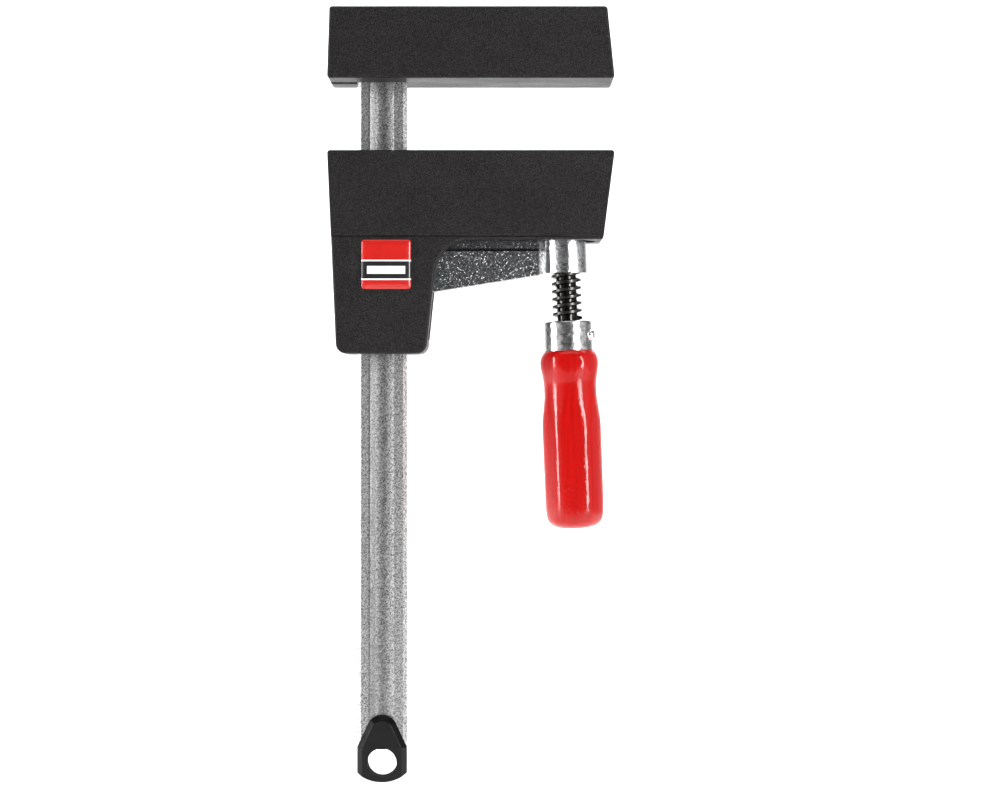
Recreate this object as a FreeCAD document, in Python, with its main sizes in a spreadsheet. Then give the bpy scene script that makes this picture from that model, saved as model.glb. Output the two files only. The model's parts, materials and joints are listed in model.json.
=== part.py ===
import FreeCAD, Part
import math
import os
import re

import Sketcher

# A light parallel-jaw F clamp: 160 mm opening, 80 mm throat, Tr12x3 right-hand spindle.
# +Z runs up the rail towards the fixed jaw and +X runs from the rail towards the jaw tips.
# The origin is the centre of the fixed jaw's clamping face. Sub-parts are drawn about the
# rail's own centre line and are moved by rail_x into that frame.

V = FreeCAD.Vector
doc = FreeCAD.newDocument("FClamp")

DRIVING_SIZES = [
    ("rail_width", 19.6, "across the two edges of the rail"),
    ("rail_thickness", 5.0, "rail, front face to back face"),
    ("rail_top", 24.0, "upper end of the rail, inside the fixed arm"),
    ("rail_bottom", -260.5, "lower end of the rail, inside the end cap"),
    ("land_outer", 8.3, "half width where the flat land meets the edge bevel"),
    ("groove_half", 4.7, "half width of the hollow groove in each face"),
    ("groove_depth", 1.0, "depth of the groove at the centre line"),
    ("bevel_depth", 1.1, "how far the edge bevel drops from the face"),
    ("throat", 81.4, "rail edge to jaw tip"),
    ("jaw_opening", 28.0, "gap between the two clamping faces"),
    ("jaw_width", 33.0, "front to back width of both jaws"),
    ("jaw_left", 20.8, "clamping face end behind the rail, from the centre line"),
    ("cover_height", 28.0, "height of the fixed jaw cover"),
    ("cover_tip_draft", 2.9, "how far the tip end leans in towards the top"),
    ("cover_left_draft", 0.9, "how far the rail end leans in towards the top"),
    ("corner_round", 1.2, "rounding of the moulded corners"),
    ("edge_round", 1.0, "rounding of the moulded front and back edges"),
    ("beam_edge_round", 0.55, "rounding of the sliding jaw beam's front and back edges"),
    ("wall", 3.0, "moulded wall"),
    ("fixed_arm_width", 12.0, "fixed arm, front to back"),
    ("fixed_arm_foot", 4.0, "underside of the fixed arm"),
    ("fixed_arm_left", -16.0, "end of the fixed arm behind the rail"),
    ("fixed_arm_reach", 85.0, "tip of the fixed arm"),
    ("fixed_arm_nose", 8.0, "height of the fixed arm at its tip"),
    ("fixed_arm_shoulder", 14.0, "where its top begins to slope down to the tip"),
    ("rivet_radius", 2.5, "rivets through fixed arm and rail"),
    ("rivet_x", 4.5, "rivets, either side of the centre line"),
    ("rivet_low", 9.5, "height of the rivet behind the centre line"),
    ("rivet_high", 18.5, "height of the other rivet"),
    ("well_width", 5.6, "hollow beside the fixed arm in the cover, front to back"),
    ("well_y", 10.7, "middle of that hollow, front or back of the centre plane"),
    ("well_reach", 80.0, "tip end of that hollow"),
    ("well_shoulder", 10.0, "where its top begins to slope down"),
    ("well_nose", 9.0, "height of the hollow at its tip end"),
    ("housing_step", -62.7, "underside of the jaw beam, top of the lower housing"),
    ("beam_foot", -61.3, "foot of the beam's front and back faces"),
    ("seam_height", 0.5, "seam under the beam's faces"),
    ("seam_depth", 0.7, "depth of that seam into the lower housing"),
    ("housing_bottom", -107.2, "underside of the sliding housing"),
    ("lower_width", 31.8, "lower housing, front to back"),
    ("beam_tip_foot", 86.7, "tip of the jaw beam at its underside"),
    ("neck_top_right", 22.4, "right side of the lower housing at the beam"),
    ("neck_foot_right", 17.7, "right side of the lower housing at its foot"),
    ("neck_foot_left", -17.3, "left side of the lower housing at its foot"),
    ("throat_round", 14.3, "hollow round from the beam down into the lower housing"),
    ("foot_round", 4.0, "round of the two foot corners"),
    ("chamber_width", 26.8, "hollow inside the housing, front to back"),
    ("chamber_left", -17.4, "hollow inside the housing, side behind the rail"),
    ("chamber_right", 13.0, "its throat side, above the upper rail guide"),
    ("chamber_foot_right", 15.0, "its throat side at the lower rail guide"),
    ("throat_wall", 2.6, "wall between the hollow and the throat"),
    ("side_wall", 2.2, "wall between the hollow and the side behind the rail"),
    ("side_slot_reach", 38.0, "how far the arm's slot is cut through the throat round"),
    ("arm_slot", 12.6, "slot that the sliding arm passes, front to back"),
    ("keyhole_radius", 11.8, "round opening around the spindle boss"),
    ("keyhole_x", 72.3, "centre of that opening"),
    ("guide_top", -40.0, "lower end of the upper rail guide"),
    ("guide_bottom", -101.5, "upper end of the lower rail guide"),
    ("rail_gap", 0.3, "running gap around the rail in the guides"),
    ("plate_length", 24.0, "thrust plate, along the beam"),
    ("plate_width", 20.0, "thrust plate, front to back"),
    ("plate_thickness", 3.0, "thrust plate"),
    ("badge_size", 19.3, "square front badge"),
    ("badge_x", 2.27, "badge centre"),
    ("badge_z", -72.5, "badge centre"),
    ("badge_thickness", 1.3, "badge, at the top of its dome edge"),
    ("spindle_tilt", 2.2, "lean of the unloaded arm and spindle, in degrees"),
    ("spindle_x", 72.6, "a point on the spindle axis"),
    ("spindle_z", -77.84, "the same point"),
    ("root_top", -50.0, "sliding arm root, upper end"),
    ("root_bottom", -83.5, "sliding arm root, lower end"),
    ("root_left", -14.2, "sliding arm root, behind the rail"),
    ("root_right", 16.5, "sliding arm root, throat side"),
    ("root_width", 11.6, "sliding arm root, front to back"),
    ("pivot_z", -67.5, "height about which the arm tilts on the rail"),
    ("rib_width", 10.0, "lower rib of the arm"),
    ("rib_top", -66.7, "upper edge of the lower rib"),
    ("neck_width", 6.4, "recess between rib and flange"),
    ("flange_foot", -65.4, "lower edge of the upper flange"),
    ("flange_width", 8.0, "upper flange of the arm"),
    ("flange_top", -57.0, "upper edge of the flange at the boss"),
    ("web_end", 66.0, "where rib and flange run into the boss"),
    ("web_end_foot", -75.35, "underside of the rib at the boss"),
    ("ramp_start", 10.4, "where the rib's faces ramp out to the boss, from the boss axis"),
    ("ramp_end", 7.9, "where that ramp ends, from the boss axis"),
    ("ramp_half", 6.2, "half width of the rib past the ramp"),
    ("boss_radius", 8.7, "spindle boss"),
    ("boss_foot", -75.2, "underside of the boss"),
    ("boss_length", 26.0, "boss along the spindle"),
    ("boss_bore", 6.3, "radius of the bore around the thread"),
    ("slot_half", 18.0, "height of the root's rail slot above and below that pivot"),
    ("slot_gap", 0.45, "gap between the slot and the rail's edges at the pivot"),
    ("grip_pin_radius", 1.2, "hardened pins that bite the rail"),
    ("grip_pin_x", 11.85, "grip pins, either side of the centre line"),
    ("grip_pin_high", -53.5, "height of the pin behind the rail"),
    ("grip_pin_low", -79.5, "height of the pin on the throat side"),
    ("thread_radius", 5.9, "spindle thread, crest"),
    ("core_radius", 4.1, "spindle thread, root"),
    ("thread_pitch", 3.0, "spindle thread"),
    ("thread_foot", -15.0, "lower end of the thread, along the spindle"),
    ("thread_length", 47.0, "length of the thread"),
    ("shank_radius", 4.0, "plain shank inside ferrule and handle"),
    ("shank_foot", -62.0, "lower end of the shank"),
    ("neck_radius", 2.8, "spindle neck below the ball"),
    ("ball_radius", 3.6, "spindle ball end"),
    ("ball_height", 38.97, "centre of the ball, along the spindle"),
    ("pad_radius", 8.0, "pressure pad"),
    ("pad_x", 71.1, "pressure pad centre"),
    ("pad_top", -34.1, "pressure pad, face under the thrust plate"),
    ("pad_height", 7.0, "pressure pad"),
    ("pad_foot_radius", 6.0, "pressure pad, at its foot"),
    ("clip_inner", 3.3, "inside of the ring below the pad"),
    ("clip_outer", 5.5, "outside of that ring"),
    ("clip_thickness", 0.8, "that ring"),
    ("ferrule_radius", 9.72, "ferrule"),
    ("ferrule_top", -16.22, "ferrule, upper end along the spindle"),
    ("ferrule_length", 11.7, "ferrule"),
    ("ferrule_wall", 1.6, "ferrule wall"),
    ("cross_pin_radius", 2.4, "pin through ferrule, handle and spindle"),
    ("cross_pin_height", -22.2, "pin axis, along the spindle"),
    ("cross_pin_turn", 22.0, "pin axis, degrees round from the throat side"),
    ("pin_proud", 1.3, "how far the pin's domed end stands out of the ferrule"),
    ("pin_dome", 1.3, "rounding of that end"),
    ("handle_flats", 21.8, "handle across flats"),
    ("handle_foot", -98.1, "lower end of the handle, along the spindle"),
    ("cap_shoulder", -261.9, "end cap, top of its straight sides"),
    ("cap_foot", -272.1, "end cap, foot of its straight sides"),
    ("cap_bottom", -275.7, "end cap, lowest point"),
    ("cap_peak", -241.1, "end cap, where its two slopes would meet"),
    ("cap_peak_round", 6.2, "round of that peak"),
    ("cap_thickness", 9.4, "end cap, front to back"),
    ("cap_bevel", 2.0, "bevel around the end cap's faces"),
    ("cap_crease_round", 0.4, "rounding where that bevel meets the faces"),
    ("hang_radius", 5.8, "hanging hole"),
    ("hang_z", -268.1, "hanging hole centre"),
    ("hang_flat", 5.45, "hole centre up to the flat at its top"),
    ("lug_radius", 2.4, "lug that snaps into the rail"),
    ("lug_z", -256.0, "lug centre"),
    ("brake_plate", 0.8, "thickness of the brake spring"),
    ("brake_foot", -49.2, "underside of the brake spring"),
    ("brake_reach", 13.5, "half length of the brake spring"),
    ("brake_width", 11.0, "brake spring, front to back"),
    ("tongue_width", 4.0, "its tongues, front to back"),
    ("tongue_height", 6.0, "its tongues, height"),
    ("tongue_gap", 0.15, "gap between a relaxed tongue and the rail"),
]
NAMES = {name for name, size, note in DRIVING_SIZES}
RAIL_X = "-(rail_width + throat) / 2"
RIVETS = [("-rivet_x", "rivet_low"), ("rivet_x", "rivet_high")]
GRIP_PINS = [("-grip_pin_x", "grip_pin_high"), ("grip_pin_x", "grip_pin_low")]
# The turned handle: radius, and depth below the foot of the ferrule.
HANDLE_RADII = [
    (9.85, 0.0), (10.85, 1.6), (11.6, 4.6), (11.2, 8.2), (10.5, 13.0), (10.45, 18.0), (11.0, 24.0),
    (11.65, 28.5), (11.7, 34.0), (11.65, 48.0), (11.55, 62.5), (11.1, 66.6), (9.4, 69.2), (5.0, 70.18),
]

sheet = doc.addObject("Spreadsheet::Sheet", "Sizes")
for row, (name, size, note) in enumerate(DRIVING_SIZES, start=1):
    sheet.set(f"A{row}", name)
    sheet.set(f"B{row}", repr(size))
    sheet.set(f"C{row}", note)
    sheet.setAlias(f"B{row}", name)
doc.recompute()


def bound(formula):
    """A formula in plain names, written as an expression on the sheet."""

    def on_sheet(word):
        return f"Sizes.{word.group()}" if word.group() in NAMES else word.group()

    return re.sub(r"[a-z_]+", on_sheet, str(formula))


def value(formula):
    """The present number that a formula comes to."""
    return float(sheet.evalExpression(bound(formula)))


def new_body(label, x="rail_x"):
    """A sub-part drawn about the rail's centre line, or about the spindle when x says so."""
    body = doc.addObject("PartDesign::Body", label)
    body.Label = label
    body.setExpression("Placement.Base.x", bound(x.replace("rail_x", RAIL_X)))
    return body


def new_spindle_body(label):
    """A sub-part turned about the leaning spindle, with its local +Z up the spindle axis."""
    body = new_body(label, "rail_x + spindle_x")
    body.Placement.Rotation = FreeCAD.Rotation(V(0, -1, 0), value("spindle_tilt"))
    body.setExpression("Placement.Base.z", bound("spindle_z"))
    body.setExpression("Placement.Rotation.Angle", bound("spindle_tilt * 1deg"))
    return body


def new_sketch(body, name, role, offset="0"):
    sketch = body.newObject("Sketcher::SketchObject", name)
    plane = [o for o in body.Origin.OriginFeatures if o.Role == role][0]
    sketch.AttachmentSupport = [(plane, "")]
    sketch.MapMode = "FlatFace"
    sketch.setExpression("AttachmentOffset.Base.z", bound(offset))
    return sketch


def bind_point(sketch, geometry, end, point):
    """Hold one end of a sketch line at a point given by two formulas."""
    for kind, formula in zip(("DistanceX", "DistanceY"), point):
        index = sketch.addConstraint(Sketcher.Constraint(kind, -1, 1, geometry, end, value(formula)))
        sketch.setExpression(f"Constraints[{index}]", bound(formula))


def draw_outline(sketch, points, arcs=()):
    """A closed outline; a side named in arcs bows through the middle point given there."""
    arcs = dict(arcs)
    flat = [V(value(x), value(y), 0) for x, y in points]
    for i, start in enumerate(flat):
        stop = flat[(i + 1) % len(flat)]
        if i in arcs:
            middle = V(value(arcs[i][0]), value(arcs[i][1]), 0)
            sketch.addGeometry(Part.Arc(start, middle, stop), False)
        else:
            sketch.addGeometry(Part.LineSegment(start, stop), False)
            bind_point(sketch, i, 1, points[i])
            if (i + 1) % len(flat) in arcs:
                bind_point(sketch, i, 2, points[(i + 1) % len(flat)])


def draw_circle(sketch, x, y, radius):
    number = sketch.addGeometry(Part.Circle(V(value(x), value(y), 0), V(0, 0, 1), value(radius)), False)
    bind_point(sketch, number, 3, (x, y))
    index = sketch.addConstraint(Sketcher.Constraint("Radius", number, value(radius)))
    sketch.setExpression(f"Constraints[{index}]", bound(radius))


def finish_feature(body, feature, adds):
    """Recompute, and make sure that the feature added or removed material as it should."""
    before = body.Shape.Volume if not body.Shape.isNull() else 0.0
    body.Tip = feature
    doc.recompute()
    if feature.Shape.isNull():
        raise RuntimeError(f"{body.Label}: {feature.Label} has no shape: {feature.getStatusString()}")
    change = feature.Shape.Volume - before
    if (change <= 0) if adds else (change >= 0):
        raise RuntimeError(f"{body.Label}: {feature.Label} changed the volume by {change:.2f}")
    return feature


def extrude(body, name, sketch, length, adds=True, one_way=False, reverse=False):
    feature = body.newObject("PartDesign::Pad" if adds else "PartDesign::Pocket", name)
    feature.Profile = sketch
    feature.SideType = "One side" if one_way else "Symmetric"
    feature.Reversed = reverse
    feature.setExpression("Length", bound(length))
    return finish_feature(body, feature, adds)


def slab(body, name, points, width, adds=True, offset="0", arcs=()):
    """Front-view outline given a width front to back; adds=False cuts it out."""
    sketch = new_sketch(body, name + "Sketch", "XZ_Plane", offset)
    draw_outline(sketch, points, arcs)
    return extrude(body, name, sketch, width, adds)


def cross_hole(body, name, centres, radius, width):
    """Round holes from front to back."""
    sketch = new_sketch(body, name + "Sketch", "XZ_Plane")
    for x, z in centres:
        draw_circle(sketch, x, z, radius)
    return extrude(body, name, sketch, width, adds=False)


def turned(body, name, points, adds=True, arcs=()):
    """A profile of (radius, height) turned once about the body's own Z axis."""
    sketch = new_sketch(body, name + "Sketch", "XZ_Plane")
    draw_outline(sketch, points, arcs)
    feature = body.newObject("PartDesign::Revolution" if adds else "PartDesign::Groove", name)
    feature.Profile = sketch
    feature.ReferenceAxis = (sketch, ["V_Axis"])
    feature.Angle = 360
    return finish_feature(body, feature, adds)


def edge_names(shape, chosen):
    """Names of the edges whose every sampled point passes the test."""
    names = []
    for number, edge in enumerate(shape.Edges, start=1):
        if not edge.Degenerated and all(chosen(p) for p in edge.discretize(5)):
            names.append(f"Edge{number}")
    return names


def blend(body, name, kind, size_property, size, chosen):
    """Round or bevel the chosen edges of what the body is so far."""
    base = body.Tip
    names = edge_names(base.Shape, chosen)
    if not names:
        raise RuntimeError(f"{body.Label}: {name} found no edges")
    feature = body.newObject(kind, name)
    feature.Base = (base, names)
    feature.setExpression(size_property, bound(size))
    body.Tip = feature
    doc.recompute()
    if feature.Shape.isNull() or "Invalid" in feature.State:
        raise RuntimeError(f"{body.Label}: {name} failed on {len(names)} edges")
    return feature


def round_edges(body, name, radius, chosen):
    return blend(body, name, "PartDesign::Fillet", "Radius", radius, chosen)


def near(a, b, gap=0.02):
    return abs(a - b) < gap


def rectangle(left, right, low, high):
    return [(left, low), (right, low), (right, high), (left, high)]


def make_rail():
    """Rolled rail: a flat bar with a shallow hollow down each face and bevelled edges."""
    body = new_body("rail")
    sketch = new_sketch(body, "Section", "XY_Plane", "rail_bottom")
    half = "rail_thickness / 2"
    low = f"{half} - bevel_depth"
    edge = "rail_width / 2"
    points = [
        ("groove_half", f"-({half})"), ("land_outer", f"-({half})"), (edge, f"-({low})"), (edge, low),
        ("land_outer", half), ("groove_half", half), ("-groove_half", half), ("-land_outer", half),
        (f"-{edge}", low), (f"-{edge}", f"-({low})"), ("-land_outer", f"-({half})"),
        ("-groove_half", f"-({half})"),
    ]
    hollow = {5: ("0", f"{half} - groove_depth"), 11: ("0", f"-({half} - groove_depth)")}
    draw_outline(sketch, points, hollow)
    extrude(body, "Bar", sketch, "rail_top - rail_bottom", one_way=True)
    cross_hole(body, "RivetHoles", RIVETS, "rivet_radius", "rail_thickness * 2")
    cross_hole(body, "LugHole", [("0", "lug_z")], "lug_radius + 0.1", "rail_thickness * 2")
    return body


def make_fixed_arm():
    """Steel arm of the fixed jaw, riveted to the rail and hidden by the cover."""
    body = new_body("fixed_arm")
    top = "rail_top"
    points = [
        ("fixed_arm_left", "fixed_arm_foot"), ("fixed_arm_reach", "fixed_arm_foot"),
        ("fixed_arm_reach", "fixed_arm_foot + fixed_arm_nose"), ("fixed_arm_shoulder", top),
        ("fixed_arm_left", top),
    ]
    slab(body, "Bar", points, "fixed_arm_width")
    edge = "(rail_width / 2 + 0.05)"
    sides = rectangle(f"-{edge}", edge, "fixed_arm_foot - 1", "rail_top + 1")
    slab(body, "RailSlot", sides, "rail_thickness + 0.1", adds=False)
    cross_hole(body, "RivetHoles", RIVETS, "rivet_radius", "fixed_arm_width * 2")
    return body


def make_pins(label, centres, radius, length):
    """Identical pins from front to back, as one sub-part drawn about the rail's centre line."""
    pins = []
    for number, (x, z) in enumerate(centres, start=1):
        pin = doc.addObject("Part::Cylinder", f"{label}_{number}")
        pin.setExpression("Radius", bound(radius))
        pin.setExpression("Height", bound(length))
        pin.Placement.Rotation = FreeCAD.Rotation(V(1, 0, 0), -90)
        pin.setExpression("Placement.Base.x", bound(x))
        pin.setExpression("Placement.Base.y", bound(f"-{length} / 2"))
        pin.setExpression("Placement.Base.z", bound(z))
        pins.append(pin)
    group = doc.addObject("Part::Compound", label)
    group.Label = label
    group.Links = pins
    group.setExpression("Placement.Base.x", bound(RAIL_X))
    doc.recompute()
    return group


def on_corners(corners):
    """A test for the front-to-back edges that stand on the given front-view corners."""
    places = [(value(x), value(z)) for x, z in corners]

    def on_corner(p):
        return any(near(p.x, x) and near(p.z, z) for x, z in places)

    return on_corner


def make_cover():
    """Moulded cover of the fixed jaw, open at the rail end, with a slot for the rail below."""
    body = new_body("fixed_jaw_cover")
    left = "-jaw_left"
    right = "throat + rail_width / 2"
    outline = [
        (left, "0"), (right, "0"), (f"{right} - cover_tip_draft", "cover_height"),
        (f"{left} + cover_left_draft", "cover_height"),
    ]
    slab(body, "Block", outline, "jaw_width")
    round_edges(body, "Corners", "corner_round", on_corners(outline))
    half = value("jaw_width / 2")
    round_edges(body, "Edges", "edge_round", lambda p: near(abs(p.y), half))
    outside = f"{left} - 1"
    channel = [
        (outside, "fixed_arm_foot"), ("fixed_arm_reach + 0.3", "fixed_arm_foot"),
        ("fixed_arm_reach + 0.3", "fixed_arm_foot + fixed_arm_nose + 0.3"),
        ("fixed_arm_shoulder + 0.2", "rail_top + 0.3"), (outside, "rail_top + 0.3"),
    ]
    slab(body, "ArmChannel", channel, "fixed_arm_width + 0.2", adds=False)
    slot = rectangle(outside, "rail_width / 2 + 0.2", "-1", "fixed_arm_foot + 1")
    slab(body, "RailSlot", slot, "rail_thickness + 0.5", adds=False)
    roof = "cover_height - wall"
    well = [
        (outside, "wall"), ("well_reach", "wall"), ("well_reach", "wall + well_nose"),
        ("well_shoulder", roof), (outside, roof),
    ]
    for name, side in (("FrontWell", "well_y"), ("BackWell", "-well_y")):
        slab(body, name, well, "well_width", adds=False, offset=side)
    return body


def make_end_cap():
    """Moulded cap that forks over the rail's lower end, with the hole for hanging it up."""
    body = new_body("end_cap")
    edge = "rail_width / 2"
    outline = [
        (f"-{edge}", "cap_foot"), (edge, "cap_foot"), (edge, "cap_shoulder"), ("0", "cap_peak"),
        (f"-{edge}", "cap_shoulder"),
    ]
    slab(body, "Block", outline, "cap_thickness", arcs={0: ("0", "cap_bottom")})
    round_edges(body, "Peak", "cap_peak_round", on_corners([("0", "cap_peak")]))
    half = value("cap_thickness / 2")
    foot = value("cap_foot")

    def around_face(p):
        return near(abs(p.y), half) and p.z > foot - 0.01

    blend(body, "Bevel", "PartDesign::Chamfer", "Size", "cap_bevel", around_face)
    round_edges(body, "Creases", "cap_crease_round", around_face)
    fork = rectangle(f"-{edge} - 1", f"{edge} + 1", "rail_bottom - 0.1", "cap_peak + 1")
    slab(body, "Fork", fork, "rail_thickness + 0.1", adds=False)
    lug = new_sketch(body, "LugSketch", "XZ_Plane")
    draw_circle(lug, "0", "lug_z", "lug_radius")
    extrude(body, "Lug", lug, "rail_thickness + 1")
    flat = "hang_z + hang_flat"
    chord = "sqrt(hang_radius ^ 2 - hang_flat ^ 2)"
    hole = [(f"-{chord}", flat), (chord, flat)]
    slab(body, "HangHole", hole, "cap_thickness * 2", adds=False, arcs={1: ("0", "hang_z - hang_radius")})
    return body


def beam_side(z):
    """The tip end of the jaw beam, which leans in towards its underside, at a height."""
    run = "(throat + rail_width / 2 - beam_tip_foot) / (-jaw_opening - housing_step)"
    return f"beam_tip_foot + ({z} - housing_step) * {run}"


def left_side(z):
    """The housing's side behind the rail, which leans in towards its foot, at a height."""
    run = "(neck_foot_left + jaw_left) / (-jaw_opening - housing_bottom)"
    return f"neck_foot_left - ({z} - housing_bottom) * {run}"


def make_housing():
    """Moulded housing of the sliding jaw: a hollow beam over a hollow body around the rail."""
    body = new_body("sliding_jaw_housing")
    face = "-jaw_opening"
    right = "throat + rail_width / 2"
    foot_corners = [("neck_foot_right", "housing_bottom"), ("neck_foot_left", "housing_bottom")]
    throat_corner = [("neck_top_right", "housing_step")]
    whole = [
        ("-jaw_left", face), (right, face), ("beam_tip_foot", "housing_step"), throat_corner[0],
        foot_corners[0], foot_corners[1],
    ]
    slab(body, "Body", whole, "lower_width")
    round_edges(body, "ThroatRound", "throat_round", on_corners(throat_corner))
    round_edges(body, "FootRounds", "foot_round", on_corners(foot_corners))
    step = value("housing_step")
    side = value("lower_width / 2")
    round_edges(body, "LowerEdges", "edge_round", lambda p: near(abs(p.y), side) and p.z < step + 0.01)
    beam = [
        ("-jaw_left", face), (right, face), (beam_side("beam_foot"), "beam_foot"),
        (left_side("beam_foot"), "beam_foot"),
    ]
    slab(body, "Beam", beam, "jaw_width")
    round_edges(body, "BeamCorners", "corner_round", on_corners(whole[:3]))
    half = value("jaw_width / 2")
    round_edges(body, "BeamEdges", "beam_edge_round", lambda p: near(abs(p.y), half) and p.z > step - 0.01)
    seam = rectangle("-jaw_left - 1", "keyhole_x", "beam_foot - seam_height", "beam_foot")
    for name, side in (("FrontSeam", "lower_width / 2"), ("BackSeam", "-lower_width / 2")):
        slab(body, name, seam, "seam_depth * 2", adds=False, offset=side)
    cut_housing(body)
    return body


def cut_housing(body):
    """The hollows of the sliding housing and the ways into them."""
    roof = "-jaw_opening - wall"
    floor = "housing_step + wall"
    chamber = [
        ("chamber_left", "guide_top"), ("chamber_right", "guide_top"), ("chamber_right", roof),
        (beam_side(roof) + " - wall", roof), (beam_side(floor) + " - wall", floor),
        ("neck_top_right - throat_wall", floor), ("chamber_foot_right", "guide_bottom"),
        (left_side("guide_bottom") + " + side_wall", "guide_bottom"),
    ]
    slab(body, "Chamber", chamber, "chamber_width", adds=False)
    edge = "(rail_width / 2 + rail_gap)"
    passage = rectangle(f"-{edge}", edge, "housing_bottom - 1", "-jaw_opening + 1")
    slab(body, "RailPassage", passage, "rail_thickness + 2 * rail_gap", adds=False)
    below = rectangle("neck_foot_right", "keyhole_x", "housing_step - 1", f"{floor} + 1")
    slab(body, "ArmSlot", below, "arm_slot", adds=False)
    beside = rectangle("chamber_right", "side_slot_reach", "guide_bottom", f"{floor} + 1")
    slab(body, "SideSlot", beside, "arm_slot", adds=False)
    keyhole = new_sketch(body, "KeyholeSketch", "XY_Plane", "housing_step - 1")
    draw_circle(keyhole, "keyhole_x", "0", "keyhole_radius")
    extrude(body, "Keyhole", keyhole, "wall + 2", adds=False, one_way=True, reverse=True)


def make_thrust_plate():
    """Steel plate under the beam's roof that the spindle pushes against."""
    body = new_body("thrust_plate")
    roof = "-jaw_opening - wall"
    reach = "plate_length / 2"
    sides = rectangle(f"pad_x - {reach}", f"pad_x + {reach}", f"{roof} - plate_thickness", roof)
    slab(body, "Plate", sides, "plate_width")
    round_edges(body, "Corners", "plate_thickness / 8", on_corners(sides[:2]))
    return body


def make_badge():
    """Square badge glued on the front of the lower housing, with softly domed edges."""
    body = new_body("badge")
    reach = "badge_size / 2"
    left, right = f"badge_x - {reach}", f"badge_x + {reach}"
    sides = rectangle(left, right, f"badge_z - {reach}", f"badge_z + {reach}")
    sketch = new_sketch(body, "FaceSketch", "XZ_Plane", "lower_width / 2")
    draw_outline(sketch, sides)
    extrude(body, "Face", sketch, "badge_thickness", one_way=True)
    front = -value("lower_width / 2 + badge_thickness")
    round_edges(body, "Corners", "1", on_corners(sides))
    round_edges(body, "Dome", "badge_thickness * 0.6", lambda p: near(p.y, front))
    return body


def make_sliding_arm():
    """Cast arm: a root that rides the rail, a ribbed web, and the boss for the spindle."""
    body = new_body("sliding_arm")
    root = rectangle("root_left", "root_right", "root_bottom", "root_top")
    slab(body, "Root", root, "root_width")
    inside = "root_right - 1"
    rib = [
        (inside, "root_bottom + 0.1"), ("web_end", "web_end_foot"), ("web_end", "rib_top"),
        (inside, "rib_top"),
    ]
    slab(body, "Rib", rib, "rib_width")
    neck = rectangle(inside, "web_end", "rib_top - 0.5", "flange_foot + 0.5")
    slab(body, "Neck", neck, "neck_width")
    flange = [
        (inside, "flange_foot"), ("web_end", "flange_foot"), ("web_end", "flange_top"),
        (inside, "root_top"),
    ]
    slab(body, "Flange", flange, "flange_width")
    add_boss(body)
    lean = "slot_half * tan(spindle_tilt * 1deg / 2)"
    half = "(rail_width / 2 + slot_gap)"
    high, low = "pivot_z + slot_half", "pivot_z - slot_half"
    slot = [
        (f"{lean} - {half}", low), (f"{lean} + {half}", low), (f"{half} - {lean}", high),
        (f"-{half} - {lean}", high),
    ]
    slab(body, "RailSlot", slot, "rail_thickness + 0.8", adds=False)
    cross_hole(body, "PinHoles", GRIP_PINS, "grip_pin_radius", "root_width * 2")
    return body


def boss_sketch(body, name, radius):
    """A circle across the leaning spindle axis at the foot of the boss."""
    sketch = new_sketch(body, name, "XY_Plane")
    sketch.AttachmentOffset = FreeCAD.Placement(V(), FreeCAD.Rotation(V(0, -1, 0), value("spindle_tilt")))
    lean = "spindle_x - tan(spindle_tilt * 1deg) * (boss_foot - 1 - spindle_z)"
    sketch.setExpression("AttachmentOffset.Base.x", bound(lean))
    sketch.setExpression("AttachmentOffset.Base.z", bound("boss_foot - 1"))
    sketch.setExpression("AttachmentOffset.Rotation.Angle", bound("spindle_tilt * 1deg"))
    draw_circle(sketch, "0", "0", radius)
    return sketch


def add_boss(body):
    """The boss, the ramps that join it to the rib, and one flat underside for both."""
    extrude(body, "Boss", boss_sketch(body, "BossSketch", "boss_radius"), "boss_length", one_way=True)
    axis = "(spindle_x - tan(spindle_tilt * 1deg) * (boss_foot - spindle_z))"
    low = "boss_foot - 1.2"
    start, end = f"{axis} - ramp_start", f"{axis} - ramp_end"
    outline = [
        (start, "-rib_width / 2"), (end, "-ramp_half"), (axis, "-ramp_half"), (axis, "ramp_half"),
        (end, "ramp_half"), (start, "rib_width / 2"),
    ]
    ramp = new_sketch(body, "RampSketch", "XY_Plane", low)
    draw_outline(ramp, outline)
    extrude(body, "Ramp", ramp, f"rib_top - ({low})", one_way=True)
    outside = "spindle_x + boss_radius * 2"
    under = [
        ("root_right", "root_bottom"), ("web_end", "web_end_foot"), ("spindle_x", "boss_foot"),
        (outside, "boss_foot"), (outside, "root_bottom"),
    ]
    slab(body, "Underside", under, "boss_radius * 3", adds=False)
    bore = boss_sketch(body, "BoreSketch", "boss_bore")
    extrude(body, "Bore", bore, "boss_length * 3", adds=False)


def make_brake_spring():
    """Sheet spring on the arm root, with two tongues that rub the rail's edges."""
    body = new_body("brake_spring")
    top = "brake_foot + brake_plate"
    slab(body, "Plate", rectangle("-brake_reach", "brake_reach", "brake_foot", top), "brake_width")
    edge = "(rail_width / 2 + tongue_gap)"
    back = "(rail_width / 2 + tongue_gap + brake_plate)"
    tongue_top = "brake_foot + tongue_height"
    for name, start, stop in (("LeftTongue", f"-{back}", f"-{edge}"), ("RightTongue", edge, back)):
        slab(body, name, rectangle(start, stop, "brake_foot", tongue_top), "tongue_width")
    window = rectangle(f"-{edge}", edge, "brake_foot - 1", f"{tongue_top} + 1")
    slab(body, "Window", window, "rail_thickness + 0.6", adds=False)
    return body


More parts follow.
